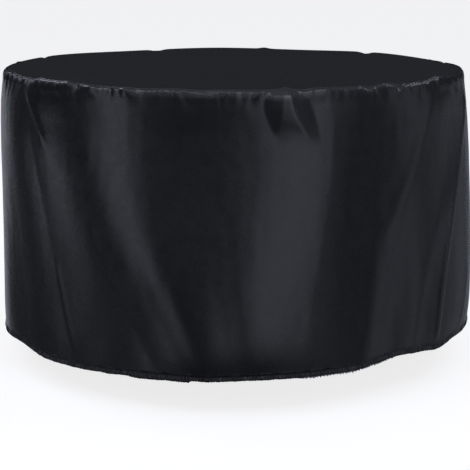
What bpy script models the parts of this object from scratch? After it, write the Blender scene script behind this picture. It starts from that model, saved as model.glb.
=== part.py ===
"""Round fitted patio cover: a flat top panel and the skirt that hangs from its edge.

Metres, +Z up. The origin is the middle of the top panel's underside, from which the cover hangs.
The front faces -Y. Angles are in degrees round the cover from that front, positive towards +X.
The skirt is one sheet. Its wall is a turned profile, pushed in and out by a table of ridges and troughs
that run from the seam down to the hem, and by a few short tucks that start at the seam.
"""

import math
from collections import namedtuple

import bpy
import numpy as np

# Driving dimensions
COVER_RADIUS = 0.925  # the skirt at half height: a cover of 1.85 m
DROP = 1.0225  # from the top panel's underside to the hem
CLOTH = 0.002  # thickness of a sheet
SEAM_RADIUS = 0.882  # the sewn edge of the top panel
SEAM_GAP = 0.0003  # between the two pieces that the seam joins
SEAM_LEDGE = 0.004  # flat strip of the skirt beside the seam
SHOULDER_DOWN = 0.042  # height over which the skirt turns from the seam into the wall
HEM_HEIGHT = 0.028  # the turned-up band at the bottom
HEM_THICKNESS = 0.0045  # cloth and turned-up band together
HEM_TOP = DROP - HEM_HEIGHT

FRONT_STEP = 2  # degrees from one column of points to the next, on the front half
BACK_STEP = 3
ANGLES = (*range(-90, 90, FRONT_STEP), *range(90, 270, BACK_STEP))
SHOULDER_STEPS = 3
TOP_RINGS = (0.45, 0.82)  # radii of the top panel's inner rings

# The skirt's profile below the shoulder: depth under the top, and radius before any fold.
PROFILE = (
    (SHOULDER_DOWN, COVER_RADIUS - 0.016),
    (0.08, COVER_RADIUS - 0.0105),
    (0.12, COVER_RADIUS - 0.0065),
    (0.20, COVER_RADIUS - 0.0025),
    (0.31, COVER_RADIUS),
    (0.72, COVER_RADIUS),
    (0.90, COVER_RADIUS - 0.001),
    (0.955, COVER_RADIUS - 0.0035),
    (HEM_TOP - 0.004, COVER_RADIUS - 0.007),
    (HEM_TOP + 0.012, COVER_RADIUS - 0.008),
    (HEM_TOP + 0.021, COVER_RADIUS - 0.008),
    (DROP, COVER_RADIUS - 0.010),
)
FREE_DEPTHS = (0.08, 0.12, 0.18, 0.28, 0.41, 0.54, 0.67, 0.80, 0.92)  # rows between shoulder and hem
HEM_DEPTHS = (HEM_TOP, HEM_TOP + 0.014, DROP)

# Ridges and troughs, in order round the cover. Each has its angle and its height over the profile, in
# millimetres, at four depths: the seam, one third and two thirds of the way down, and the hem.
# crisp is 0 for a soft turn and 1 for a creased one.
Line = namedtuple("Line", "name angles heights crisp")
LINES = (
    Line("left_ridge", (-64, -62.5, -61, -58), (0, -5, -20, -16), 0.0),
    Line("left_trough", (-58, -52, -46, -40), (0, -13, -20, -16), 0.8),
    Line("diagonal_crease", (-50, -37.8, -26.5, -16), (1, -1, 18, 14), 0.9),
    Line("diagonal_rise", (-36, -29.5, -19.5, -9.5), (0, 6, 40, 30), 0.8),
    Line("middle_ridge", (-19, -18.6, -12, -4.5), (2, 12, 60, 42), 0.3),
    Line("middle_trough", (2, 0, 1, 4), (-2, 0, 42, 28), 0.0),
    Line("front_ridge", (22, 21, 17, 13), (3, 11, 30, 22), 0.5),
    Line("front_trough", (33, 33, 31, 29), (-2, -2, 10, 8), 0.0),
    Line("right_rise", (56, 46, 41, 38), (4, 2, -3, -2), 0.0),
    Line("right_dip", (65, 57, 50, 46), (-3, -1, 3, 4), 0.0),
    Line("right_ridge", (77, 64.4, 56.4, 53), (2, 14, 25, 24), 0.9),
    Line("right_trough", (86, 77, 73, 71), (-5, 12, 29, 29), 0.0),
    Line("right_swell", (97, 96, 95, 94), (-4, 10, 28, 31), 0.0),
    Line("back_trough_1", (113, 114, 116, 117), (-2, -8, -5, -2), 0.0),
    Line("back_ridge_1", (128, 131, 131, 129), (3, 8, 9, 5), 0.3),
    Line("back_trough_2", (143, 146, 144, 141), (-2, -9, -9, -5), 0.0),
    Line("back_ridge_2", (160, 158, 155, 154), (2, 7, 8, 6), 0.2),
    Line("back_trough_3", (175, 172, 171, 173), (-2, -9, -10, -6), 0.0),
    Line("back_ridge_3", (190, 190, 193, 197), (3, 8, 10, 7), 0.3),
    Line("back_trough_4", (207, 207, 209, 213), (-2, -8, -9, -5), 0.0),
    Line("back_ridge_4", (222, 226, 230, 232), (2, 9, 8, 5), 0.3),
    Line("back_trough_5", (241, 246, 249, 250), (-2, -8, -8, -6), 0.0),
    Line("left_swell", (258, 261, 263, 264), (2, 3, 3, 9), 0.0),
    Line("left_dip", (280, 281, 282, 284), (2, -2, -2, 5), 0.0),
)
FULL_FOLD_DEPTH = 0.15  # the folds are flat at the seam and full from here down
HEM_LIFT_DEPTH = 0.60  # from here down the wall follows the hem's rise

# Short tucks that the seam's gathers start: angle at the seam and at their lower end, in degrees,
# how deep under the top they reach, half width along the wall, and height (a tuck is negative).
Tuck = namedtuple("Tuck", "name seam_angle end_angle reach half_width height")
TUCKS = (
    Tuck("corner_pleat", -55.5, -50.0, 0.26, 0.030, 0.006),
    Tuck("left_pinch", -27.5, -25.5, 0.13, 0.050, -0.006),
    Tuck("right_pinch", 41.0, 41.0, 0.11, 0.045, -0.006),
    Tuck("back_tuck", 151.0, 149.0, 0.19, 0.045, -0.009),
    Tuck("back_pinch", 214.0, 216.0, 0.15, 0.050, -0.008),
)

# The ridge that fans out from the front's one pinch. At each depth: the angles where its left flank
# starts and ends and where its right flank starts and ends, and both flanks' heights in millimetres.
Pinch = namedtuple("Pinch", "depth left_foot left_crest right_crest right_foot left_height right_height")
PINCH = (
    Pinch(0.000, 9.6, 10.7, 11.7, 12.6, 0, 0),
    Pinch(0.015, 7.2, 10.5, 12.0, 15.0, 12, 13),
    Pinch(0.035, 6.6, 10.4, 12.2, 16.4, 18, 21),
    Pinch(0.070, 6.8, 10.2, 12.7, 17.3, 18, 23),
    Pinch(0.100, 7.4, 10.0, 13.6, 17.9, 13, 20),
    Pinch(0.130, 8.2, 9.8, 14.8, 18.4, 5, 14),
    Pinch(0.160, 8.9, 9.6, 16.0, 18.8, 0, 7),
    Pinch(0.195, 9.0, 9.6, 17.3, 19.0, 0, 0),
)

# How far the hem rises over its plain level, in millimetres, at angles round the cover.
HEM_RISE = (
    (-80, -8), (-65, -4), (-50, -22), (-40, -19), (-30, -11), (-22, -3), (-12, 3), (0, 7), (10, 8),
    (28, 8), (34, 18), (41, 28), (48, 20), (55, 14), (63, 26), (72, 22), (84, 18),
    (110, 4), (140, -6), (165, 6), (195, -4), (225, 5), (255, -3),
)

# How far the seam lies over its plain level, in millimetres, at angles round the cover.
SEAM_RISE = (
    (-84, -2), (-70, 3), (-60, -3), (-46, 2), (-28, -2), (-12, 1), (6, -2), (20, 2), (34, -1), (46, -5),
    (58, 2), (70, -3), (88, 2), (112, -3), (135, 2), (160, -3), (186, 2), (212, -3), (240, 2), (262, -1),
)

CLOTH_COLOUR = (0.016, 0.016, 0.019, 1.0)
CLOTH_ROUGHNESS = 0.45


def clear_scene():
    for obj in list(bpy.data.objects):
        bpy.data.objects.remove(obj, do_unlink=True)


def cloth_material(name, colour, roughness):
    material = bpy.data.materials.new(name)
    material.use_nodes = True
    shader = material.node_tree.nodes["Principled BSDF"]
    shader.inputs["Base Color"].default_value = colour
    shader.inputs["Roughness"].default_value = roughness
    shader.inputs["Metallic"].default_value = 0.0
    return material


def smoothstep(share):
    share = min(max(share, 0.0), 1.0)
    return share * share * (3 - 2 * share)


def through_four(values, share):
    """The cubic that has the four values at 0, 1/3, 2/3 and 1 of the way down."""
    knots = (0.0, 1 / 3, 2 / 3, 1.0)
    total = 0.0
    for i, value in enumerate(values):
        weight = 1.0
        for j, knot in enumerate(knots):
            if i != j:
                weight *= (share - knot) / (knots[i] - knot)
        total += value * weight
    return total


def mix(first, second, share):
    return first + (second - first) * share


def between(start, end, share, crisp_start, crisp_end):
    """Height from one line to the next. A crisp line leaves at a slope, and a soft one leaves level."""
    soft = 0.5 - 0.5 * math.cos(math.pi * share)
    from_crease = math.sin(0.5 * math.pi * share)
    to_crease = 1 - math.cos(0.5 * math.pi * share)
    from_soft_line = mix(soft, to_crease, crisp_end)
    from_crisp_line = mix(from_crease, share, crisp_end)
    return mix(start, end, mix(from_soft_line, from_crisp_line, crisp_start))


def fold_height(angle, depth):
    """How far the folds push the wall out at this angle and depth, in metres."""
    share = depth / DROP
    at = [through_four(line.angles, share) for line in LINES]
    heights = [through_four(line.heights, share) for line in LINES]
    offset = (angle - at[0]) % 360
    starts = [(a - at[0]) % 360 for a in at]
    i = max(k for k, start in enumerate(starts) if start <= offset)
    following = (i + 1) % len(LINES)
    span = (starts[following] - starts[i]) % 360
    height = between(
        heights[i],
        heights[following],
        (offset - starts[i]) / span,
        LINES[i].crisp,
        LINES[following].crisp,
    )
    return 0.001 * height * smoothstep(depth / FULL_FOLD_DEPTH)


def tuck_height(angle, depth):
    """How far the short tucks push the wall out. Each is widest and deepest a third of the way down."""
    total = 0.0
    for tuck in TUCKS:
        along = depth / tuck.reach
        if along >= 1:
            continue
        middle = tuck.seam_angle + (tuck.end_angle - tuck.seam_angle) * along
        across = (angle - middle + 180) % 360 - 180
        away = math.radians(across) * COVER_RADIUS
        fade = smoothstep(3 * along) * smoothstep(1.4 * (1 - along))
        total += tuck.height * fade * math.exp(-((away / tuck.half_width) ** 2) * 2)
    return total


def pinch_height(angle, depth):
    """How far the ridge that fans out from the front's one pinch stands out, flank by flank."""
    if depth >= PINCH[-1].depth:
        return 0.0
    depths, *columns = zip(*PINCH)
    *across, left_height, right_height = [np.interp(depth, depths, column) for column in columns]
    turned = (angle + 180) % 360 - 180
    return 0.001 * float(np.interp(turned, across, (0.0, left_height, right_height, 0.0)))


def ring_interpolate(table, angle):
    """A smooth value at an angle, from (angle, value) rows in order round the cover."""
    angles = [row[0] for row in table]
    offset = (angle - angles[0]) % 360
    starts = [(a - angles[0]) % 360 for a in angles]
    i = max(k for k, start in enumerate(starts) if start <= offset)
    following = (i + 1) % len(table)
    span = (starts[following] - starts[i]) % 360
    share = smoothstep((offset - starts[i]) / span)
    return table[i][1] + (table[following][1] - table[i][1]) * share


def profile_radius(depth):
    return float(np.interp(depth, *zip(*PROFILE)))


def pushed_out(angle, depth):
    return fold_height(angle, depth) + tuck_height(angle, depth) + pinch_height(angle, depth)


def wall_point(angle, radius, depth):
    turn = math.radians(angle)
    return (radius * math.sin(turn), -radius * math.cos(turn), CLOTH - depth)


def seam_rise(angle):
    return 0.001 * ring_interpolate(SEAM_RISE, angle)


def skirt_column(angle):
    """The skirt's outer face at one angle, from the seam to the hem."""
    inner = SEAM_RADIUS + SEAM_GAP
    first = inner + SEAM_LEDGE
    seam_depth = -seam_rise(angle)
    points = [wall_point(angle, inner, seam_depth), wall_point(angle, first, seam_depth)]
    for step in range(1, SHOULDER_STEPS + 1):
        turn = 0.5 * math.pi * step / SHOULDER_STEPS
        depth = SHOULDER_DOWN * (1 - math.cos(turn))
        radius = first + (profile_radius(SHOULDER_DOWN) - first) * math.sin(turn)
        height = depth + seam_depth * (1 - step / SHOULDER_STEPS)
        points.append(wall_point(angle, radius + pushed_out(angle, depth), height))
    rise = 0.001 * ring_interpolate(HEM_RISE, angle)
    for depth in (*FREE_DEPTHS, *HEM_DEPTHS):
        radius = profile_radius(depth) + pushed_out(angle, depth)
        lift = rise * smoothstep((depth - HEM_LIFT_DEPTH) / (HEM_DEPTHS[0] - HEM_LIFT_DEPTH))
        points.append(wall_point(angle, radius, depth - lift))
    return points


def add_object(name, points, faces, material):
    mesh = bpy.data.meshes.new(name)
    mesh.from_pydata(points, [], faces)
    mesh.materials.append(material)
    mesh.shade_smooth()
    obj = bpy.data.objects.new(name, mesh)
    bpy.context.scene.collection.objects.link(obj)
    return obj


def thicken(obj, thickness):
    """Gives a sheet its thickness, inwards from the face that was drawn."""
    solidify = obj.modifiers.new("Cloth", "SOLIDIFY")
    solidify.thickness = thickness
    solidify.offset = -1
    return solidify


def build_skirt(material):
    columns = [skirt_column(angle) for angle in ANGLES]
    count = len(columns)
    rows = len(columns[0])
    points = [point for column in columns for point in column]
    faces = []
    for c in range(count):
        left, right = c * rows, (c + 1) % count * rows
        for row in range(rows - 1):
            faces.append((left + row, left + row + 1, right + row + 1, right + row))
    skirt = add_object("skirt", points, faces, material)
    thick_rows = len(HEM_DEPTHS) - 1
    hem = skirt.vertex_groups.new(name="hem")
    hem.add([c * rows + rows - 1 - k for c in range(count) for k in range(thick_rows)], 1.0, "REPLACE")
    solidify = thicken(skirt, HEM_THICKNESS)
    solidify.vertex_group = "hem"
    solidify.thickness_vertex_group = CLOTH / HEM_THICKNESS
    return skirt


def build_top_panel(material):
    """A flat disc whose sewn edge follows the seam up and down."""
    count = len(ANGLES)
    points = [(0.0, 0.0, CLOTH)]
    for radius in TOP_RINGS:
        points += [wall_point(angle, radius, 0) for angle in ANGLES]
    points += [wall_point(angle, SEAM_RADIUS, -seam_rise(angle)) for angle in ANGLES]
    faces = []
    for c in range(count):
        right = (c + 1) % count
        faces.append((0, 1 + c, 1 + right))
        for ring in range(len(TOP_RINGS)):
            inside, outside = 1 + ring * count, 1 + (ring + 1) * count
            faces.append((inside + c, outside + c, outside + right, inside + right))
    panel = add_object("top_panel", points, faces, material)
    thicken(panel, CLOTH)
    return panel


def main():
    clear_scene()
    cloth = cloth_material("black_cloth", CLOTH_COLOUR, CLOTH_ROUGHNESS)
    build_top_panel(cloth)
    build_skirt(cloth)


main()
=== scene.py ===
"""Looks of the round fitted patio cover: black coated cloth, sewn at the top edge and hemmed below.

Metres, +Z up. Angles are in degrees round the cover from its front, which faces -Y, positive towards +X.
The cloth follows the same ridges and troughs as the solids. The seam's gathers, the finer creases and the
hem's relief stand out from it, and the stitches lie on it.
"""

import math
import random
from collections import namedtuple

import bpy
import numpy as np
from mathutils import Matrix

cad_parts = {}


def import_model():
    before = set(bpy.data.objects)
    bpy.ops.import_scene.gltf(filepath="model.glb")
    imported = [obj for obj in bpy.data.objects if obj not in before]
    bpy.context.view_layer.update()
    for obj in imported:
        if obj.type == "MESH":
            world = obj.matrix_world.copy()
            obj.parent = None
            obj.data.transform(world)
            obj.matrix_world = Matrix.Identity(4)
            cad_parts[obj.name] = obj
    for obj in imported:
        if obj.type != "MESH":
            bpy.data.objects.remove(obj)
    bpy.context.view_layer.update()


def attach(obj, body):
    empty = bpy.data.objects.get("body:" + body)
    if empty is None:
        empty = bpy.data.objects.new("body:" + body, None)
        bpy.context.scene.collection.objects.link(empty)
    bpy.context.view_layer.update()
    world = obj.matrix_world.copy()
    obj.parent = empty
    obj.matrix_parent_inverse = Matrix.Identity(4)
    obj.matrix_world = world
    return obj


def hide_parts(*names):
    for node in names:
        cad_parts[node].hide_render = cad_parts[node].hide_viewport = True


# The cover's own sizes, as its solids have them
COVER_RADIUS = 0.925
DROP = 1.0225
CLOTH = 0.002
SEAM_RADIUS = 0.882
SEAM_GAP = 0.0003  # between the top panel's edge and the skirt's
SHOULDER_DOWN = 0.042
HEM_HEIGHT = 0.028
HEM_TOP = DROP - HEM_HEIGHT
FULL_FOLD_DEPTH = 0.15  # how deep under the top the folds have their whole height
HEM_LIFT_DEPTH = 0.60  # how deep under the top the hem's rise and fall begin to show

SHEET = 0.0012  # the visible cloth's thickness
HEM_SHEET = 0.0034  # the hem's, which is turned up twice
EDGE_ROW = 0.0005  # a last narrow row, so that an edge turns sharply

# The hem in section: how far down it, and how far it stands out from the wall's own profile.
HEM_SECTION = (
    (0.0, 0.0), (EDGE_ROW, 0.0), (0.0030, 0.0002), (0.0060, -0.0001),
    (0.0095, -0.0009), (0.0120, -0.0009), (0.0150, 0.0001), (0.0190, 0.0016),
    (0.0225, 0.0028), (0.0250, 0.0033), (0.0270, 0.0031), (0.0280, 0.0020),
)
HEM_GATHER = 0.0030  # how far its gathers stand out
HEM_GATHER_WAVE = (0.02, 0.80)  # down the hem: where in a half wave they start, and their share of it
HEM_EDGE_WAVE = 0.0010  # how far they pull its edge up and down
HEM_SIDE_ANGLE = 45  # from here to the sides and the back the gathers get flatter
HEM_SIDE_EASE = 20  # over so many degrees
HEM_SIDE_FLATTER = 0.6  # by this share
HEM_FLAP = (-25.0, -9.4)  # between these angles the edge hangs lower
HEM_FLAP_EASE = (3.0, 0.4)  # over how many degrees that starts and ends
HEM_FLAP_DROP = 0.006
HEM_FLAT_ANGLES = (18, 85)  # between these angles the band lies flatter
HEM_FLAT_EASE = 20  # over so many degrees
HEM_FLAT_SHARE = 0.5  # by this share

# The sewn seam in section, from the skirt's upper edge outwards: how far out, and how high over the top.
# Both cloths' edges stand up in a low welt, with the stitched groove outside it.
SEAM_SECTION = (
    (0.0, 0.0), (0.0010, 0.0010), (0.0028, 0.0017), (0.0048, 0.0013),
    (0.0060, -0.0004), (0.0074, -0.0036), (0.0090, -0.0040), (0.0108, -0.0020),
)
SHOULDER_START = 0.0124  # how far outside the skirt's upper edge the plain shoulder starts

# The skirt's profile below the shoulder: depth under the top, and radius before any fold.
PROFILE = (
    (SHOULDER_DOWN, COVER_RADIUS - 0.016),
    (0.08, COVER_RADIUS - 0.0105),
    (0.12, COVER_RADIUS - 0.0065),
    (0.20, COVER_RADIUS - 0.0025),
    (0.31, COVER_RADIUS),
    (0.72, COVER_RADIUS),
    (0.90, COVER_RADIUS - 0.001),
    (0.955, COVER_RADIUS - 0.0028),
    (HEM_TOP - 0.004, COVER_RADIUS - 0.0050),
    (HEM_TOP + 0.012, COVER_RADIUS - 0.0060),
    (HEM_TOP + 0.021, COVER_RADIUS - 0.0062),
    (DROP, COVER_RADIUS - 0.008),
)

# Ridges and troughs, in order round the cover. Each has its angle and its height over the profile, in
# millimetres, at four depths: the seam, one third and two thirds of the way down, and the hem.
# crisp is 0 for a soft turn and 1 for a creased one.
Line = namedtuple("Line", "name angles heights crisp")
LINES = (
    Line("left_ridge", (-64, -62.5, -61, -58), (0, -5, -20, -16), 0.0),
    Line("left_trough", (-58, -52, -46, -40), (0, -13, -20, -16), 0.8),
    Line("diagonal_crease", (-50, -37.8, -26.5, -16), (1, -1, 18, 14), 0.9),
    Line("diagonal_rise", (-36, -29.5, -19.5, -9.5), (0, 6, 40, 30), 0.8),
    Line("middle_ridge", (-19, -18.6, -12, -4.5), (2, 12, 60, 42), 0.3),
    Line("middle_trough", (2, 0, 1, 4), (-2, 0, 42, 28), 0.0),
    Line("front_ridge", (22, 21, 17, 13), (3, 11, 30, 22), 0.5),
    Line("front_trough", (33, 33, 31, 29), (-2, -2, 10, 8), 0.0),
    Line("right_rise", (56, 46, 41, 38), (4, 2, -3, -2), 0.0),
    Line("right_dip", (65, 57, 50, 46), (-3, -1, 3, 4), 0.0),
    Line("right_ridge", (77, 64.4, 56.4, 53), (2, 14, 25, 24), 0.9),
    Line("right_trough", (86, 77, 73, 71), (-5, 12, 29, 29), 0.0),
    Line("right_swell", (97, 96, 95, 94), (-4, 10, 28, 31), 0.0),
    Line("back_trough_1", (113, 114, 116, 117), (-2, -8, -5, -2), 0.0),
    Line("back_ridge_1", (128, 131, 131, 129), (3, 8, 9, 5), 0.3),
    Line("back_trough_2", (143, 146, 144, 141), (-2, -9, -9, -5), 0.0),
    Line("back_ridge_2", (160, 158, 155, 154), (2, 7, 8, 6), 0.2),
    Line("back_trough_3", (175, 172, 171, 173), (-2, -9, -10, -6), 0.0),
    Line("back_ridge_3", (190, 190, 193, 197), (3, 8, 10, 7), 0.3),
    Line("back_trough_4", (207, 207, 209, 213), (-2, -8, -9, -5), 0.0),
    Line("back_ridge_4", (222, 226, 230, 232), (2, 9, 8, 5), 0.3),
    Line("back_trough_5", (241, 246, 249, 250), (-2, -8, -8, -6), 0.0),
    Line("left_swell", (258, 261, 263, 264), (2, 3, 3, 9), 0.0),
    Line("left_dip", (280, 281, 282, 284), (2, -2, -2, 5), 0.0),
)

# Short tucks that the seam's gathers start: angle at the seam and at their lower end, in degrees,
# how deep under the top they reach, half width along the wall, and height (a tuck is negative).
Tuck = namedtuple("Tuck", "name seam_angle end_angle reach half_width height")
TUCKS = (
    Tuck("back_tuck", 151.0, 149.0, 0.19, 0.045, -0.009),
    Tuck("back_pinch", 214.0, 216.0, 0.15, 0.050, -0.008),
)

# The ridge that fans out from the front's one pinch. At each depth: the angles where its left flank
# starts and ends and where its right flank starts and ends, and both flanks' heights in millimetres.
Pinch = namedtuple("Pinch", "depth left_foot left_crest right_crest right_foot left_height right_height")
PINCH = (
    Pinch(0.000, 9.6, 10.7, 11.7, 12.6, 0, 0),
    Pinch(0.015, 7.2, 10.5, 12.0, 15.0, 12, 13),
    Pinch(0.035, 6.6, 10.4, 12.2, 16.4, 18, 21),
    Pinch(0.070, 6.8, 10.2, 12.7, 17.3, 18, 23),
    Pinch(0.100, 7.4, 10.0, 13.6, 17.9, 13, 20),
    Pinch(0.130, 8.2, 9.8, 14.8, 18.4, 5, 14),
    Pinch(0.160, 8.9, 9.6, 16.0, 18.8, 0, 7),
    Pinch(0.195, 9.0, 9.6, 17.3, 19.0, 0, 0),
)

# Thin ridges and troughs that run far down the wall: angle at the seam, one third and two thirds of the
# way down and at the hem, where they start and stop, half width and height.
Crease = namedtuple("Crease", "name angles top bottom half_width height")
CREASES = (
    Crease("right_line", (78, 64.8, 56.8, 53.5), 0.06, 1.03, 0.016, 0.0040),
    Crease("corner_line", (-57.5, -44.5, -34, -24), 0.01, 0.27, 0.030, 0.0060),
    Crease("right_diagonal", (53.5, 43.0, 31.0, 20), 0.01, 0.55, 0.050, 0.0035),
    Crease("left_low_line", (-52, -49, -44.8, -37.5), 0.66, 0.97, 0.016, 0.0030),
    Crease("right_low_line", (79, 77, 73, 66), 0.72, 1.03, 0.022, 0.0040),
    Crease("back_line_1", (118, 122, 125, 127), 0.02, 0.70, 0.030, 0.0050),
    Crease("back_line_2", (202, 199, 197, 196), 0.02, 0.85, 0.030, 0.0050),
    Crease("back_line_3", (236, 238, 238, 237), 0.30, 1.03, 0.024, 0.0045),
    Crease("closing_seam", (180, 180, 180, 180), 0.0, 1.03, 0.005, 0.0016),
    Crease("closing_groove", (180.5, 180.5, 180.5, 180.5), 0.0, 1.03, 0.004, -0.0016),
)
CREASE_START = 0.05  # over what depth a crease rises
CREASE_END = 0.09  # over what depth it dies away

# Gathers just under the seam: angle, half width, how far down they reach, height (a pinch is negative),
# and how many degrees they lean on the way down.
Gather = namedtuple("Gather", "angle half_width reach height lean")
GATHERS = (
    Gather(-74.5, 0.010, 0.080, 0.0050, -1.5),
    Gather(-70.0, 0.012, 0.115, 0.0085, -3.0),
    Gather(-66.0, 0.011, 0.105, 0.0080, -4.0),
    Gather(-62.0, 0.010, 0.090, 0.0075, -5.0),
    Gather(-58.5, 0.010, 0.085, 0.0065, -3.0),
    Gather(-51.0, 0.012, 0.060, 0.0030, 2.5),
    Gather(-41.0, 0.014, 0.035, 0.0060, 0.5),
    Gather(-37.6, 0.009, 0.035, -0.0065, 0.5),
    Gather(-33.5, 0.045, 0.065, 0.0110, 1.0),
    Gather(-28.4, 0.010, 0.040, -0.0065, 0.5),
    Gather(-24.2, 0.042, 0.075, 0.0110, 0.5),
    Gather(-26.5, 0.008, 0.060, -0.0025, 2.0),
    Gather(-16.8, 0.012, 0.045, 0.0040, -0.5),
    Gather(-14.6, 0.007, 0.075, 0.0035, 3.0),
    Gather(-13.2, 0.007, 0.085, 0.0040, 3.0),
    Gather(-11.8, 0.007, 0.075, -0.0035, 2.5),
    Gather(-10.1, 0.008, 0.030, 0.0050, 0.5),
    Gather(-6.0, 0.050, 0.030, -0.0050, 0.0),
    Gather(-3.2, 0.010, 0.100, -0.0035, 0.8),
    Gather(-1.4, 0.010, 0.030, 0.0050, 0.0),
    Gather(1.6, 0.008, 0.050, -0.0030, 0.3),
    Gather(6.6, 0.034, 0.055, 0.0100, -1.5),
    Gather(13.8, 0.020, 0.022, 0.0050, 1.5),
    Gather(17.0, 0.010, 0.030, 0.0040, 0.5),
    Gather(20.5, 0.060, 0.045, 0.0080, 0.0),
    Gather(30.2, 0.012, 0.045, 0.0050, 1.0),
    Gather(33.5, 0.016, 0.040, -0.0050, 0.5),
    Gather(36.5, 0.012, 0.040, 0.0045, 0.5),
    Gather(40.6, 0.017, 0.030, -0.0070, 0.0),
    Gather(43.6, 0.010, 0.040, 0.0050, 0.5),
    Gather(48.5, 0.040, 0.055, 0.0085, 1.0),
    Gather(50.2, 0.009, 0.040, -0.0050, 1.0),
    Gather(58.0, 0.011, 0.070, 0.0065, 7.0),
    Gather(61.5, 0.020, 0.060, -0.0040, 6.0),
    Gather(64.0, 0.010, 0.060, 0.0050, 7.0),
    Gather(69.0, 0.010, 0.060, 0.0045, 5.0),
    Gather(74.0, 0.012, 0.070, 0.0050, 3.0),
)
GATHER_START = 0.012  # how far from the seam a gather has its whole height
SEAM_PUCKER = 0.0030  # height of the uneven puckers that run all along the seam
PUCKER_START = 0.014  # how far from the seam they have their whole height
PUCKER_REACH = 0.085  # how far from it they end
SMALL_GATHERS = 64  # all round, at random places
BACK_GATHERS = 30  # larger ones, between the two BACK_ANGLES
BACK_ANGLES = (82, 278)
GATHER_SEED = 11

# Where the seam line itself sags or lifts over a short stretch: angle, half width in degrees, rise.
SeamWave = namedtuple("SeamWave", "angle half_width rise")
SEAM_WAVES = (
    SeamWave(-52.0, 3.0, 0.004),
    SeamWave(-41.5, 2.0, 0.003),
    SeamWave(-20.0, 4.0, -0.003),
    SeamWave(-8.0, 5.0, -0.004),
    SeamWave(11.4, 1.6, 0.006),
    SeamWave(15.6, 2.2, -0.005),
    SeamWave(31.5, 1.8, -0.009),
    SeamWave(36.3, 1.8, 0.004),
    SeamWave(40.6, 2.0, -0.013),
    SeamWave(44.4, 1.0, -0.004),
    SeamWave(50.4, 1.4, -0.004),
    SeamWave(57.0, 2.0, 0.006),
    SeamWave(104.0, 2.0, -0.008),
    SeamWave(139.0, 2.5, -0.009),
    SeamWave(171.0, 2.0, 0.005),
    SeamWave(203.0, 2.5, -0.008),
    SeamWave(244.0, 2.0, -0.007),
)

# Faint unevenness of the whole wall: waves with random direction and phase.
RIPPLES = 16
RIPPLE_SEED = 5
RIPPLE_HEIGHT = 0.00012
RIPPLE_START = 0.12  # how deep under the top they have their whole height

# How far the hem rises over its plain level, in millimetres, at angles round the cover.
HEM_RISE = (
    (-80, -8), (-65, -4), (-50, -22), (-40, -19), (-30, -11), (-22, -3), (-12, 3), (0, 7), (10, 8),
    (28, 8), (34, 18), (41, 28), (48, 20), (55, 14), (63, 26), (72, 22), (84, 18),
    (110, 4), (140, -6), (165, 6), (195, -4), (225, 5), (255, -3),
)

# How far the seam lies over its plain level, in millimetres, at angles round the cover.
SEAM_RISE = (
    (-84, -2), (-70, 3), (-60, -3), (-46, 2), (-28, -2), (-12, 1), (6, -2), (20, 2), (34, -1), (46, -5),
    (58, 2), (70, -3), (88, 2), (112, -3), (135, 2), (160, -3), (186, 2), (212, -3), (240, 2), (262, -1),
)

# The light lip under the hem: between which angles, how far it hangs, and its thickness.
LIP_ANGLES = (13.0, 43.0)
LIP_ENDS = (3, 4)  # over how many degrees it starts and ends
LIP_STEP = 0.25
LIP_HANG = 0.0065
LIP_EVENNESS = 0.75  # the share of its hang that is the same all along
LIP_GATHER = 0.5  # the share that its own gathers add or take
LIP_SHEET = 0.0008
# The lip in section: how far it is inside the hem's face, how far over the hem's edge, and the share of
# its hang that it is under the edge.
LIP_SECTION = ((0.0022, 0.004, 0.0), (0.0018, 0.0, 0.3), (0.0014, 0.0, 1.0))

# Stitches
STITCH_LENGTH = 0.0036
STITCH_WIDTH = 0.0011
STITCH_PROUD = 0.0006  # how far the middle of one stands out
HEM_PITCH = 0.0052  # from one stitch to the next
HEM_STITCH_PLACE = (0.0060, -0.0006)  # how far down the hem, and how far out from the wall's profile
SEAM_PITCH = 0.0044
SEAM_STITCH_RISE = 0.0004  # how far the thread lies over the seam's groove

# Materials
CLOTH_MAP = "cloth_map"  # each piece's map of its flat cloth, in metres
WEAVE_PITCH = 0.0015
DARK_CLOTH = (0.0090, 0.0096, 0.0108)
PALE_CLOTH = (0.0112, 0.0114, 0.0128)
CLOTH_ROUGHNESS = 0.27
CLOTH_ROUGHNESS_RANGE = (0.24, 0.31)
DARK_COATING = (0.27, 0.27, 0.28)
PALE_COATING = (0.38, 0.38, 0.39)
COATING_ROUGHNESS = 0.45
THREAD_COLOUR = (0.020, 0.020, 0.023)
THREAD_ROUGHNESS = 0.5
THREAD_ROUGHNESS_RANGE = (0.42, 0.6)
FLOOR_COLOUR = (0.35, 0.35, 0.35)
FLOOR_ROUGHNESS = 0.9
FLOOR_EMISSION = 0.8
# Noise of each finish: its scale, its detail, and its roughness where that isn't the usual one
BROAD_NOISE = (5.0, 3.0)
PATCHES_NOISE = (26.0, 4.0, 0.6)
SOFT_NOISE = (12.0, 2.0)
COATING_NOISE = (22.0, 5.0, 0.6)
FIBRE_NOISE = (2500.0, 1.0)
NOISE_RANGE = (0.3, 0.7)  # most of a noise's values lie between these
# How high the bumps of each finish are
SOFT_BUMP = 0.0006
CRINKLE_BUMP = 0.00014
WEAVE_BUMP = 0.000014
COATING_BUMP = 0.0008
COATING_WEAVE_BUMP = 0.00002
FIBRE_BUMP = 0.0001

# Fineness of the visible cloth: degrees from one column to the next, and rows
FRONT_STEP = 0.36  # between the two FRONT_EDGE angles
BACK_STEP = 0.75
FRONT_EDGE = 78
HEM_STEP = 0.12
SHOULDER_ROWS = 9
TOP_RING_ROWS = 12
TOP_INNER_RINGS = (0.04, 0.80)  # the radii of the top's first and last inner ring
TOP_OUTER_RINGS = (0.81, SEAM_RADIUS - 0.004)  # and of its first and last outer ring
TOP_FLAT_RADIUS = 0.82  # outside this the top follows the seam's rise and fall
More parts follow.
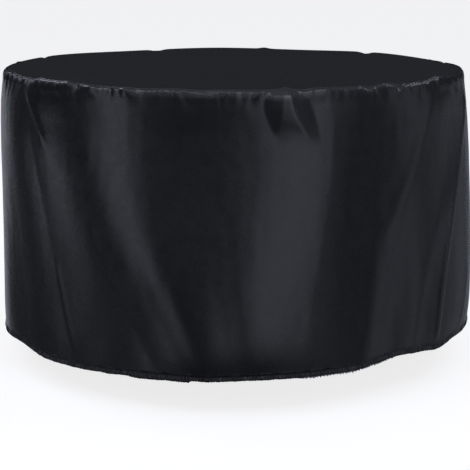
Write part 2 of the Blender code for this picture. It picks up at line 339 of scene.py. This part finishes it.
# How deep under the top the wall's rows are, from the shoulder to the hem
FREE_DEPTHS = (
    *np.linspace(SHOULDER_DOWN, 0.20, 13)[1:],
    *np.linspace(0.20, 0.93, 28)[1:],
    *np.linspace(0.93, HEM_TOP - EDGE_ROW, 5)[1:],
    HEM_TOP,
)

# The camera: its place in metres, its turns in degrees, and its lens in millimetres
CAMERA_DISTANCE = 6.048
CAMERA_SIDE = 0.004
CAMERA_HEIGHT = 0.5485
CAMERA_PITCH = 11.52  # downwards
CAMERA_ROLL = -0.117
FOCAL_LENGTH = 116.2
SENSOR_WIDTH = 36.0

FLOOR_LEVEL = -1.15
FLOOR_REACH = 120.0  # from its middle to each edge

# How strongly the studio glows: its floor and its walls, at the front and at the back, and its ceiling
FLOOR_GLOW = 0.075
BACK_FLOOR_GLOW = 0.065
ROOM_GLOW = 0.12
BACK_ROOM_GLOW = 0.033
CEILING_GLOW = 0.24
MIDDLE_FLOOR_SHARE = 1.6  # how many times as strong the floor glows in steeper directions
NEAR_FLOOR_SHARE = 0.45  # and how many times that in the steepest ones
LEFT_ROOM_SHARE = 0.35  # how many times as strong the floor and the walls glow at the far left
STUDIO_TINT = (0.83, 0.86, 1.0)
# Where each of them changes, as a part of a direction of length 1: Y for the back, X for the left, and Z
# for the rest
BACK_TURN = (0.25, 0.75)
LEFT_TURN = (-0.93, -0.82)
FLOOR_TURN = (-0.05, 0.05)
MIDDLE_FLOOR_TURN = (-0.42, -0.28)
NEAR_FLOOR_TURN = (-0.70, -0.58)
ROOM_TURN = (-0.06, 0.08)
CEILING_TURN = (0.35, 0.80)


def smoothstep(share):
    """From 0 to 1, level at both ends."""
    share = np.clip(share, 0.0, 1.0)
    return share * share * (3 - 2 * share)


def through_four(values, share):
    """The cubic that has the four values at 0, 1/3, 2/3 and 1 of the way down."""
    knots = (0.0, 1 / 3, 2 / 3, 1.0)
    total = 0.0
    for i, value in enumerate(values):
        weight = 1.0
        for j, knot in enumerate(knots):
            if i != j:
                weight *= (share - knot) / (knots[i] - knot)
        total += value * weight
    return total


def place_in_ring(angles, angle):
    """For each angle: the row before it, the row after it, and the share of the way between them."""
    at = np.asarray(angles, float)
    starts = (at - at[0]) % 360
    offset = (np.asarray(angle, float) - at[0]) % 360
    before = np.searchsorted(starts, offset, side="right") - 1
    after = (before + 1) % len(at)
    span = (starts[after] - starts[before]) % 360
    return before, after, (offset - starts[before]) / span


def ring_interpolate(table, angle):
    """A smooth value at each angle, from (angle, value) rows in order round the cover."""
    values = np.array([row[1] for row in table], float)
    before, after, share = place_in_ring([row[0] for row in table], angle)
    return values[before] + (values[after] - values[before]) * smoothstep(share)


def fold_height(angle, depth):
    """How far the folds push the wall out at these angles and one depth, in metres."""
    down = depth / DROP
    heights = np.array([through_four(line.heights, down) for line in LINES])
    crisp = np.array([line.crisp for line in LINES])
    before, after, share = place_in_ring([through_four(line.angles, down) for line in LINES], angle)
    soft = 0.5 - 0.5 * np.cos(np.pi * share)
    from_crease = np.sin(0.5 * np.pi * share)
    to_crease = 1 - np.cos(0.5 * np.pi * share)
    from_soft = soft + crisp[after] * (to_crease - soft)
    from_crisp = from_crease + crisp[after] * (share - from_crease)
    blend = from_soft + crisp[before] * (from_crisp - from_soft)
    height = heights[before] + (heights[after] - heights[before]) * blend
    return 0.001 * height * smoothstep(depth / FULL_FOLD_DEPTH)


def turn_between(angle, middle):
    """The shortest turn from middle to each angle, in degrees."""
    return (angle - middle + 180) % 360 - 180


def ridge_section(angle, middle, half_width):
    """A soft ridge across the wall: 1 along its middle, about a seventh at its half width, then soon 0."""
    away = np.radians(turn_between(angle, middle)) * COVER_RADIUS
    return np.exp(-((away / half_width) ** 2) * 2)


def tuck_height(angle, depth):
    """How far the short tucks push the wall out. Each is deepest about a third of the way down its reach."""
    total = np.zeros_like(angle)
    for tuck in TUCKS:
        along = depth / tuck.reach
        if along >= 1:
            continue
        middle = tuck.seam_angle + (tuck.end_angle - tuck.seam_angle) * along
        fade = smoothstep(3 * along) * smoothstep(1.4 * (1 - along))
        total += tuck.height * fade * ridge_section(angle, middle, tuck.half_width)
    return total


def pinch_height(angle, depth):
    """How far the ridge that fans out from the front's one pinch stands out, flank by flank."""
    if depth >= PINCH[-1].depth:
        return np.zeros_like(angle)
    depths, *columns = zip(*PINCH)
    *across, left_height, right_height = [np.interp(depth, depths, column) for column in columns]
    return 0.001 * np.interp(angle, across, (0.0, left_height, right_height, 0.0))


def crease_height(angle, depth):
    """How far the thin creases push the wall out."""
    total = np.zeros_like(angle)
    for crease in CREASES:
        middle = through_four(crease.angles, depth / DROP)
        start = smoothstep((depth - crease.top) / CREASE_START)
        end = smoothstep((crease.bottom - depth) / CREASE_END)
        total += crease.height * (start * end) * ridge_section(angle, middle, crease.half_width)
    return total


def random_gathers():
    """Small gathers all round, and larger ones on the back, which the list above leaves plain."""
    source = random.Random(GATHER_SEED)
    gathers = []
    for _ in range(SMALL_GATHERS):
        angle = source.uniform(-180, 180)
        height = source.choice((-1, 1)) * source.uniform(0.0010, 0.0022)
        half_width = source.uniform(0.008, 0.018)
        reach = source.uniform(0.03, 0.10)
        gathers.append(Gather(angle, half_width, reach, height, source.uniform(-2, 2)))
    for _ in range(BACK_GATHERS):
        angle = source.uniform(*BACK_ANGLES)
        height = source.choice((-1, 1, 1)) * source.uniform(0.003, 0.007)
        half_width = source.uniform(0.012, 0.040)
        reach = source.uniform(0.04, 0.14)
        gathers.append(Gather(angle, half_width, reach, height, source.uniform(-3, 3)))
    return gathers


def seam_pucker(angle):
    """Uneven puckers along the seam, from about -1 to 1."""
    turn = np.radians(angle)
    long = np.sin(47 * turn + 2.2 * np.sin(5 * turn + 1.0)) + np.sin(71 * turn + 1.8 * np.sin(9 * turn))
    short = np.sin(113 * turn + 2.6 * np.sin(13 * turn + 0.5)) * np.sin(17 * turn + 0.8)
    return 0.34 * long + 0.32 * short


def gather_height(gathers, angle, along):
    """How far the gathers push the cloth out, at one distance along the cloth from the seam."""
    total = np.zeros_like(angle)
    if along < PUCKER_REACH:
        fade = smoothstep(along / PUCKER_START) * (1 - along / PUCKER_REACH) ** 1.5
        total += SEAM_PUCKER * fade * seam_pucker(angle)
    for gather in gathers:
        share = along / gather.reach
        if share >= 1:
            continue
        middle = gather.angle + gather.lean * share
        half_width = gather.half_width * (0.6 + 0.8 * share)
        fade = smoothstep(along / GATHER_START) * (1 - share) ** 1.3
        total += gather.height * fade * ridge_section(angle, middle, half_width)
    return total


def random_ripples():
    """Waves round the cover: how many in a full turn, how many down the wall, phase, and share."""
    source = random.Random(RIPPLE_SEED)
    return [
        (source.randint(24, 110), source.uniform(-5, 5), source.uniform(0, 6.28), source.uniform(0.4, 1.0))
        for _ in range(RIPPLES)
    ]


def ripple_height(ripples, angle, depth):
    """How far the wall's faint waves push it out."""
    turn = np.radians(angle)
    total = np.zeros_like(angle)
    for around, down, phase, share in ripples:
        wave = np.sin(around * turn + 2 * math.pi * down * depth / DROP + phase)
        total += share * wave * 40 / (20 + around)
    return RIPPLE_HEIGHT * total * smoothstep(depth / RIPPLE_START)


def profile_radius(depth):
    """The wall's radius at one depth, before any fold."""
    return float(np.interp(depth, *zip(*PROFILE)))


def seam_rise(angle):
    """How far the seam lies over its plain level."""
    rise = 0.001 * ring_interpolate(SEAM_RISE, angle)
    for wave in SEAM_WAVES:
        rise = rise + wave.rise * np.exp(-((turn_between(angle, wave.angle) / wave.half_width) ** 2) * 2)
    return rise


def hem_lift(angle, depth):
    """How far the wall is lifted by its hem's rise and fall."""
    share = smoothstep((depth - HEM_LIFT_DEPTH) / (HEM_TOP - HEM_LIFT_DEPTH))
    return 0.001 * ring_interpolate(HEM_RISE, angle) * share


def ring_points(angle, radius, height):
    """Points round the cover, from angles, radii and heights."""
    turn = np.radians(angle)
    return np.stack([radius * np.sin(turn), -radius * np.cos(turn), height], axis=-1)


def column_angles():
    """The angles of the cloth's columns, which are closer together at the front."""
    front = np.arange(-FRONT_EDGE, FRONT_EDGE, FRONT_STEP)
    back = np.arange(FRONT_EDGE, 360 - FRONT_EDGE, BACK_STEP)
    return np.concatenate([front, back])


def wall_radius(angle, depth):
    """The free wall's radius, with its folds, tucks, creases and pinch."""
    pushed = fold_height(angle, depth) + tuck_height(angle, depth) + crease_height(angle, depth)
    return profile_radius(depth) + pushed + pinch_height(turn_between(angle, 0), depth)


def skirt_rows(angle):
    """The skirt's outer face, one row of points after another, from the seam to the hem's stitches."""
    gathers = (*GATHERS, *random_gathers())
    ripples = random_ripples()
    inner = SEAM_RADIUS + SEAM_GAP
    rise = seam_rise(angle)
    rows = [ring_points(angle, inner + out, CLOTH + up + rise) for out, up in SEAM_SECTION]
    first = inner + SHOULDER_START
    wide = profile_radius(SHOULDER_DOWN) - first
    along = 0.0
    last = (first, 0.0)
    for step in range(SHOULDER_ROWS + 1):
        turn = 0.5 * math.pi * step / SHOULDER_ROWS
        depth = SHOULDER_DOWN * (1 - math.cos(turn))
        radius = first + wide * math.sin(turn)
        along += math.dist(last, (radius, depth))
        last = (radius, depth)
        tilt = math.atan2(wide * math.cos(turn), SHOULDER_DOWN * math.sin(turn))
        puff = gather_height(gathers, angle, along)
        pushed = radius + wall_radius(angle, depth) - profile_radius(depth) + puff * math.cos(tilt)
        lowered = CLOTH - depth + rise * (1 - step / SHOULDER_ROWS) + puff * math.sin(tilt)
        rows.append(ring_points(angle, pushed, lowered))
    for depth in FREE_DEPTHS:
        puff = gather_height(gathers, angle, along + depth - SHOULDER_DOWN)
        radius = wall_radius(angle, depth) + puff + ripple_height(ripples, angle, depth)
        rows.append(ring_points(angle, radius, CLOTH - depth + hem_lift(angle, depth)))
    return np.array(rows)


def ring_faces(rows, columns):
    """Four-sided faces between rows of points that go all the way round."""
    faces = []
    for row in range(rows - 1):
        for column in range(columns):
            right = (column + 1) % columns
            up, down = row * columns, (row + 1) * columns
            faces.append((up + column, down + column, down + right, up + right))
    return faces


def ring_cloth_map(angle, alongs):
    """Where each corner of a ring mesh's faces lies on the flat cloth, in metres."""
    around = np.radians((*angle, angle[0] + 360)) * COVER_RADIUS
    corners = []
    for row in range(len(alongs) - 1):
        for column in range(len(angle)):
            left, right = around[column], around[column + 1]
            up, down = alongs[row], alongs[row + 1]
            corners += [(left, up), (left, down), (right, down), (right, up)]
    return corners


def add_mesh(name, points, faces, materials, cloth_map=()):
    """A smooth mesh object in the scene."""
    mesh = bpy.data.meshes.new(name)
    mesh.from_pydata([tuple(point) for point in points], [], faces)
    if len(cloth_map):
        layer = mesh.uv_layers.new(name=CLOTH_MAP)
        layer.data.foreach_set("uv", np.array(cloth_map, np.float32).ravel())
    for material in materials:
        mesh.materials.append(material)
    mesh.shade_smooth()
    obj = bpy.data.objects.new(name, mesh)
    bpy.context.scene.collection.objects.link(obj)
    return obj


def thicken(obj, thickness):
    """Gives a sheet its thickness, inwards, with the second material on the inner face."""
    solidify = obj.modifiers.new("Cloth", "SOLIDIFY")
    solidify.thickness = thickness
    solidify.offset = -1
    solidify.material_offset = 1
    return solidify


def build_skirt(materials):
    """The wall, from the welt at the seam down to the hem's stitches."""
    angle = column_angles()
    rows = skirt_rows(angle)
    steps = np.linalg.norm(np.diff(rows[:, 0], axis=0), axis=1)
    alongs = np.concatenate([[0.0], np.cumsum(steps)])
    faces = ring_faces(len(rows), len(angle))
    cloth_map = ring_cloth_map(angle, alongs)
    skirt = add_mesh("skirt_cloth", rows.reshape(-1, 3), faces, materials, cloth_map)
    thicken(skirt, SHEET)
    return skirt


def hem_pucker(angle):
    """The hem's uneven gathers along its edge, from about -1 to 1."""
    turn = np.radians(angle)
    long = np.sin(61 * turn + 1.1) + np.sin(97 * turn + 2.0 * np.sin(7 * turn))
    short = np.sin(173 * turn + 2.5 * np.sin(11 * turn)) + np.sin(301 * turn + 1.5 * np.sin(19 * turn))
    fine = np.sin(593 * turn + 2.0 * np.sin(23 * turn)) + np.sin(661 * turn + 3.0 * np.sin(13 * turn))
    side = smoothstep((np.abs(turn_between(angle, 0)) - HEM_SIDE_ANGLE) / HEM_SIDE_EASE)
    return (1 - HEM_SIDE_FLATTER * side) * (0.20 * long + 0.18 * short + 0.40 * fine)


def flap_drop(angle):
    """How far the hem's edge hangs lower over the one stretch that ends in a step."""
    turned = turn_between(angle, 0)
    start = smoothstep((turned - HEM_FLAP[0]) / HEM_FLAP_EASE[0])
    end = smoothstep((turned - HEM_FLAP[1]) / HEM_FLAP_EASE[1])
    return HEM_FLAP_DROP * start * (1 - end)


def hem_face(angle, down, out):
    """Radius and height of the hem's outer face, so far down it and so far out from the wall's profile."""
    depth = HEM_TOP + down
    share = down / HEM_HEIGHT
    pucker = hem_pucker(angle)
    first, last = HEM_FLAT_ANGLES
    flat = smoothstep((angle - first) / HEM_FLAT_EASE) * smoothstep((last - angle) / HEM_FLAT_EASE)
    out = out * (1 - HEM_FLAT_SHARE * flat)
    radius = wall_radius(angle, depth) + ripple_height(random_ripples(), angle, depth)
    start, span = HEM_GATHER_WAVE
    radius = radius + out + HEM_GATHER * pucker * math.sin(math.pi * (start + span * share))
    lowered = HEM_EDGE_WAVE * pucker * share + flap_drop(angle) * share**2
    return radius, CLOTH - depth + hem_lift(angle, depth) - lowered


def build_hem(materials):
    """The turned-up hem: a band a little thicker than the wall, gathered by its own stitches."""
    angle = np.arange(-90, 270, HEM_STEP)
    rows = [ring_points(angle, *hem_face(angle, down, out)) for down, out in HEM_SECTION]
    faces = ring_faces(len(rows), len(angle))
    cloth_map = ring_cloth_map(angle, [down for down, out in HEM_SECTION])
    hem = add_mesh("hem_band", np.array(rows).reshape(-1, 3), faces, materials, cloth_map)
    thicken(hem, HEM_SHEET)
    return hem


def build_lip(materials):
    """The coated edge of the turned-up cloth, where it shows under the hem over one stretch."""
    first, last = LIP_ANGLES
    angle = np.arange(first, last, LIP_STEP)
    ends = smoothstep((angle - first) / LIP_ENDS[0]) * smoothstep((last - angle) / LIP_ENDS[1])
    hang = LIP_HANG * ends * (LIP_EVENNESS + LIP_GATHER * hem_pucker(angle * 0.7))
    radius, height = hem_face(angle, HEM_HEIGHT, 0.0)
    rows = []
    for inside, over, share in LIP_SECTION:
        rows.append(ring_points(angle, radius - inside, height + over - share * hang))
    count = len(angle)
    faces = [face for face in ring_faces(len(rows), count) if face[3] % count]  # open at both ends
    lip = add_mesh("hem_lip", np.array(rows).reshape(-1, 3), faces, materials[::-1])
    thicken(lip, LIP_SHEET)
    return lip


def stitch_row(name, place, pitch, material):
    """A row of thread stitches. place gives radius and height of the cloth's face at any angle."""
    count = round(2 * math.pi * COVER_RADIUS / pitch)
    turn = np.arange(count) * 360 / count
    half = np.degrees(0.5 * STITCH_LENGTH / COVER_RADIUS)
    across = ((-half, 0.0, 0.0), (0.0, STITCH_PROUD, 0.5), (half, 0.0, 0.0), (0.0, STITCH_PROUD, -0.5))
    points, faces = [], []
    for angle in turn:
        first = len(points)
        for offset, out, up in (*across, (0.0, 0.0, 0.5), (0.0, 0.0, -0.5)):
            radius, height = place(np.array([angle + offset]))
            points.append(ring_points(angle + offset, radius[0] + out, height[0] + up * STITCH_WIDTH))
        a, b, c, d, e, f = range(first, first + 6)
        faces += [(a, d, b), (d, c, b), (a, b, e), (b, c, e), (d, a, f), (c, d, f), (a, e, f), (e, c, f)]
    return add_mesh(name, points, faces, [material])


def hem_stitches(material):
    """The row that holds the turned-up hem."""

    def place(angle):
        return hem_face(angle, *HEM_STITCH_PLACE)

    return stitch_row("hem_stitches", place, HEM_PITCH, material)


def seam_stitches(material):
    """The row in the groove outside the seam's welt."""
    out, up = SEAM_SECTION[-2]
    radius = SEAM_RADIUS + SEAM_GAP + out

    def place(angle):
        return np.full_like(angle, radius), CLOTH + up + SEAM_STITCH_RISE + seam_rise(angle)

    return stitch_row("seam_stitches", place, SEAM_PITCH, material)


def build_top(materials):
    """The flat top panel, which follows the seam's rise and fall near its edge."""
    angle = column_angles()[::2]
    inner = np.linspace(*TOP_INNER_RINGS, TOP_RING_ROWS)
    outer = np.linspace(*TOP_OUTER_RINGS, TOP_RING_ROWS)
    rows = []
    for radius in (*inner, *outer, SEAM_RADIUS):
        share = smoothstep((radius - TOP_FLAT_RADIUS) / (SEAM_RADIUS - TOP_FLAT_RADIUS))
        rows.append(ring_points(angle, radius, CLOTH + share * seam_rise(angle)))
    points = np.concatenate([np.array(rows).reshape(-1, 3), [[0.0, 0.0, CLOTH]]])
    faces = ring_faces(len(rows), len(angle))
    middle = len(points) - 1
    faces += [(middle, c, (c + 1) % len(angle)) for c in range(len(angle))]
    cloth_map = [points[corner][:2] for face in faces for corner in face]
    top = add_mesh("top_cloth", points, faces, materials, cloth_map)
    thicken(top, SHEET)
    return top


def new_material(name, colour, roughness):
    """A material with one plain shader, and that shader."""
    material = bpy.data.materials.new(name)
    material.use_nodes = True
    shader = material.node_tree.nodes["Principled BSDF"]
    shader.inputs["Base Color"].default_value = (*colour, 1.0)
    shader.inputs["Roughness"].default_value = roughness
    return material, shader


def add_node(owner, kind, **inputs):
    """A node of a material or a world. Each input is set to a value or joined to another node's output.

    An input goes by its name, with _ for a space, or by its place in the node after a first _.
    """
    node = owner.node_tree.nodes.new(kind)
    for name, value in inputs.items():
        socket = node.inputs[int(name[1:])] if name[0] == "_" else node.inputs[name.replace("_", " ")]
        if isinstance(value, bpy.types.NodeSocket):
            owner.node_tree.links.new(value, socket)
        else:
            socket.default_value = value
    return node


def do_math(owner, operation, first, second=0.0):
    """A sum, product or function of one or two values."""
    node = add_node(owner, "ShaderNodeMath", _0=first, _1=second)
    node.operation = operation
    return node.outputs["Value"]


def range_of(owner, value, low, high, start=NOISE_RANGE[0], end=NOISE_RANGE[1]):
    """A value that runs from low to high while the given one runs from start to end."""
    node = add_node(
        owner, "ShaderNodeMapRange", Value=value, From_Min=start, From_Max=end, To_Min=low, To_Max=high,
    )
    return node.outputs["Result"]


def weave_height(material):
    """The plain weave's bumps, from the flat cloth's own map."""
    cloth = add_node(material, "ShaderNodeUVMap")
    cloth.uv_map = CLOTH_MAP
    split = add_node(material, "ShaderNodeSeparateXYZ", Vector=cloth.outputs["UV"])
    turns = [do_math(material, "MULTIPLY", split.outputs[axis], 2 * math.pi / WEAVE_PITCH) for axis in "XY"]
    return do_math(material, "MULTIPLY", *[do_math(material, "SINE", turn) for turn in turns])


def noise(material, scale, detail, roughness=0.5):
    """Noise that is fixed to the object."""
    place = add_node(material, "ShaderNodeTexCoord")
    node = add_node(
        material, "ShaderNodeTexNoise", Vector=place.outputs["Object"],
        Scale=scale, Detail=detail, Roughness=roughness,
    )
    return node.outputs["Fac"]


def bump(material, height, distance, under=None):
    """The normal over bumps of that height, on top of any bumps under them."""
    node = add_node(material, "ShaderNodeBump", Height=height, Distance=distance)
    if under is not None:
        material.node_tree.links.new(under, node.inputs["Normal"])
    return node.outputs["Normal"]


def mix_colours(material, share, first, second):
    """A colour between the two."""
    node = add_node(material, "ShaderNodeMix")
    node.data_type = "RGBA"
    material.node_tree.links.new(share, node.inputs["Factor"])
    colours = [socket for socket in node.inputs if socket.type == "RGBA"]
    colours[0].default_value = (*first, 1.0)
    colours[1].default_value = (*second, 1.0)
    return next(socket for socket in node.outputs if socket.type == "RGBA")


def black_cloth():
    """Black coated cloth: a fine weave, soft unevenness, and a coat that is worn a little unevenly."""
    material, shader = new_material("black_cloth_finish", PALE_CLOTH, CLOTH_ROUGHNESS)
    links = material.node_tree.links
    broad = noise(material, *BROAD_NOISE)
    patches = noise(material, *PATCHES_NOISE)
    shade = mix_colours(material, range_of(material, broad, 0.0, 1.0), DARK_CLOTH, PALE_CLOTH)
    links.new(shade, shader.inputs["Base Color"])
    links.new(range_of(material, patches, *CLOTH_ROUGHNESS_RANGE), shader.inputs["Roughness"])
    soft = bump(material, noise(material, *SOFT_NOISE), SOFT_BUMP)
    crinkle = bump(material, patches, CRINKLE_BUMP, soft)
    weave = bump(material, weave_height(material), WEAVE_BUMP, crinkle)
    links.new(weave, shader.inputs["Normal"])
    return material


def inner_coating():
    """The silver-grey coat of the inner face, crinkled and dusty."""
    material, shader = new_material("inner_coating_finish", PALE_COATING, COATING_ROUGHNESS)
    links = material.node_tree.links
    patches = noise(material, *COATING_NOISE)
    shade = mix_colours(material, range_of(material, patches, 0.0, 1.0), DARK_COATING, PALE_COATING)
    links.new(shade, shader.inputs["Base Color"])
    crinkle = bump(material, patches, COATING_BUMP)
    weave = bump(material, weave_height(material), COATING_WEAVE_BUMP, crinkle)
    links.new(weave, shader.inputs["Normal"])
    return material


def thread():
    """Dark sewing thread, with its fibres."""
    material, shader = new_material("thread_finish", THREAD_COLOUR, THREAD_ROUGHNESS)
    links = material.node_tree.links
    fibres = noise(material, *FIBRE_NOISE)
    links.new(bump(material, fibres, FIBRE_BUMP), shader.inputs["Normal"])
    links.new(range_of(material, fibres, *THREAD_ROUGHNESS_RANGE), shader.inputs["Roughness"])
    return material


def add_camera():
    """The camera, in front of the cover and higher than its top."""
    camera = bpy.data.objects.new("camera", bpy.data.cameras.new("camera"))
    camera.data.sensor_width = SENSOR_WIDTH
    camera.data.lens = FOCAL_LENGTH
    camera.location = (CAMERA_SIDE, -CAMERA_DISTANCE, CAMERA_HEIGHT)
    camera.rotation_euler = (math.radians(90 - CAMERA_PITCH), math.radians(CAMERA_ROLL), 0)
    bpy.context.scene.collection.objects.link(camera)
    bpy.context.scene.camera = camera


# A softbox: where it is seen from the cover's middle, how far off, how high, its size, how far it
# leans down towards the cover, in degrees, and its radiance.
Softbox = namedtuple("Softbox", "name angle distance height width tall lean radiance")
SOFTBOXES = (
    Softbox("edge_box", -149, 5.0, -1.7, 3.0, 3.0, 0, 0.46),
    Softbox("left_back_box", -92, 5.0, -1.1, 1.2, 0.9, 0, 1.05),
    Softbox("left_back_low_box", -84, 5.0, -1.9, 1.0, 0.7, 0, 0.65),
    Softbox("left_low_box", -74, 5.0, -2.7, 0.9, 0.9, 0, 0.45),
    Softbox("left_front_box", -54, 5.0, 1.4, 1.3, 4.6, 0, 1.20),
    Softbox("left_front_low_box", -50, 5.0, -1.25, 1.3, 0.7, 0, 1.10),
    Softbox("front_low_box", -44, 5.0, -2.9, 1.2, 2.6, 0, 0.70),
    Softbox("front_box", 24, 7.5, 0.3, 4.2, 8.8, 0, 0.86),
    Softbox("front_side_box", 51, 7.5, -0.4, 1.2, 10.2, 0, 0.26),
    Softbox("front_fill_box", -18, 5.0, 1.45, 3.2, 0.9, 0, 0.80),
    Softbox("front_high_box", 26, 5.0, 1.3, 2.8, 1.2, 0, 0.60),
    Softbox("right_box", 82, 5.0, -0.9, 1.5, 6.0, 0, 0.40),
    Softbox("right_fill_box", 113, 5.0, -1.7, 2.6, 3.0, 0, 0.12),
    Softbox("ridge_box", 129, 5.0, -1.4, 0.8, 2.6, 0, 0.14),
    Softbox("rim_box", 148, 5.0, -1.6, 0.9, 3.4, 0, 0.30),
    Softbox("back_box", 176, 5.0, -1.5, 2.2, 2.2, 0, 0.55),
    Softbox("corner_box", -120, 4.6, 1.3, 2.0, 1.4, 0, 0.80),
    Softbox("high_corner_box", -125, 4.6, 3.4, 2.4, 1.2, 42, 4.0),
    Softbox("high_left_box", -60, 5.2, 4.2, 2.4, 1.2, 42, 4.2),
    Softbox("high_middle_box", -20, 5.2, 4.2, 3.2, 1.2, 42, 2.2),
    Softbox("high_front_box", 28, 5.2, 4.2, 3.8, 1.2, 42, 4.2),
    Softbox("high_side_box", 98, 4.8, 3.6, 2.2, 1.2, 42, 3.6),
    Softbox("high_right_box", 135, 4.6, 3.4, 1.6, 1.2, 42, 2.4),
    Softbox("overhead_box", 0, 1.6, 3.4, 4.0, 3.0, 65, 0.3),
)
LIGHT_TINT = (0.83, 0.85, 1.0)


def add_softbox(box):
    """A rectangular light that faces the cover's middle, tilted down by its lean."""
    light = bpy.data.lights.new(box.name, "AREA")
    light.shape = "RECTANGLE"
    light.size = box.width
    light.size_y = box.tall
    light.energy = box.radiance * math.pi * box.width * box.tall
    light.color = LIGHT_TINT
    obj = bpy.data.objects.new(box.name, light)
    turn = math.radians(box.angle)
    obj.location = (box.distance * math.sin(turn), -box.distance * math.cos(turn), box.height)
    obj.rotation_euler = (math.radians(90 - box.lean), 0, turn)
    obj.visible_camera = False
    bpy.context.scene.collection.objects.link(obj)


def add_floor():
    """The pale floor. The cover's reflections and shade see the world's glow instead of it."""
    mesh = bpy.data.meshes.new("floor")
    turns = ((-1, -1), (1, -1), (1, 1), (-1, 1))
    corners = [(x * FLOOR_REACH, y * FLOOR_REACH, FLOOR_LEVEL) for x, y in turns]
    mesh.from_pydata(corners, [], [(0, 1, 2, 3)])
    floor = bpy.data.objects.new("floor", mesh)
    material, shader = new_material("floor_finish", FLOOR_COLOUR, FLOOR_ROUGHNESS)
    shader.inputs["Emission Color"].default_value = (1, 1, 1, 1)
    shader.inputs["Emission Strength"].default_value = FLOOR_EMISSION
    mesh.materials.append(material)
    bpy.context.scene.collection.objects.link(floor)
    floor.visible_glossy = False
    floor.visible_diffuse = False
    floor.visible_shadow = False


def glow_of(world):
    """How strongly the world glows in each direction: its floor, its walls and its ceiling."""
    place = add_node(world, "ShaderNodeTexCoord")
    split = add_node(world, "ShaderNodeSeparateXYZ", Vector=place.outputs["Generated"])
    across, behind, up = (split.outputs[axis] for axis in "XYZ")

    def times(first, second):
        return do_math(world, "MULTIPLY", first, second)

    def add(first, second):
        return do_math(world, "ADD", first, second)

    front = range_of(world, behind, 1.0, 0.0, *BACK_TURN)
    below = range_of(world, up, 1.0, 0.0, *FLOOR_TURN)
    middle = range_of(world, up, MIDDLE_FLOOR_SHARE, 1.0, *MIDDLE_FLOOR_TURN)
    near = range_of(world, up, NEAR_FLOOR_SHARE, 1.0, *NEAR_FLOOR_TURN)
    floor_glow = range_of(world, front, BACK_FLOOR_GLOW, FLOOR_GLOW, 0.0, 1.0)
    floor = times(times(below, times(middle, near)), floor_glow)
    above = range_of(world, up, 0.0, 1.0, *ROOM_TURN)
    room_glow = range_of(world, front, BACK_ROOM_GLOW, ROOM_GLOW, 0.0, 1.0)
    left = range_of(world, across, LEFT_ROOM_SHARE, 1.0, *LEFT_TURN)
    walls = times(add(floor, times(above, room_glow)), left)
    return add(walls, range_of(world, up, 0.0, CEILING_GLOW, *CEILING_TURN))


def set_world():
    """Dim light from all round: the pale floor's below, weaker at the back, and the ceiling's above."""
    scene = bpy.context.scene
    world = bpy.data.worlds.new("studio")
    world.use_nodes = True
    background = world.node_tree.nodes["Background"]
    background.inputs["Color"].default_value = (*STUDIO_TINT, 1.0)
    world.node_tree.links.new(glow_of(world), background.inputs["Strength"])
    scene.world = world
    scene.view_settings.view_transform = "Standard"


def main():
    """Puts the cloth over the solids, and the studio round them."""
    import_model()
    add_camera()
    cloth = black_cloth()
    coating = inner_coating()
    thread_finish = thread()
    skirt = build_skirt([cloth, coating])
    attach(skirt, "root")
    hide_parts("skirt")
    hem = build_hem([cloth, coating])
    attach(hem, "root")
    for trim in (build_lip([cloth, coating]), hem_stitches(thread_finish), seam_stitches(thread_finish)):
        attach(trim, "root")
    top = build_top([cloth, coating])
    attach(top, "root")
    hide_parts("top_panel")
    for box in SOFTBOXES:
        add_softbox(box)
    add_floor()
    set_world()


main()
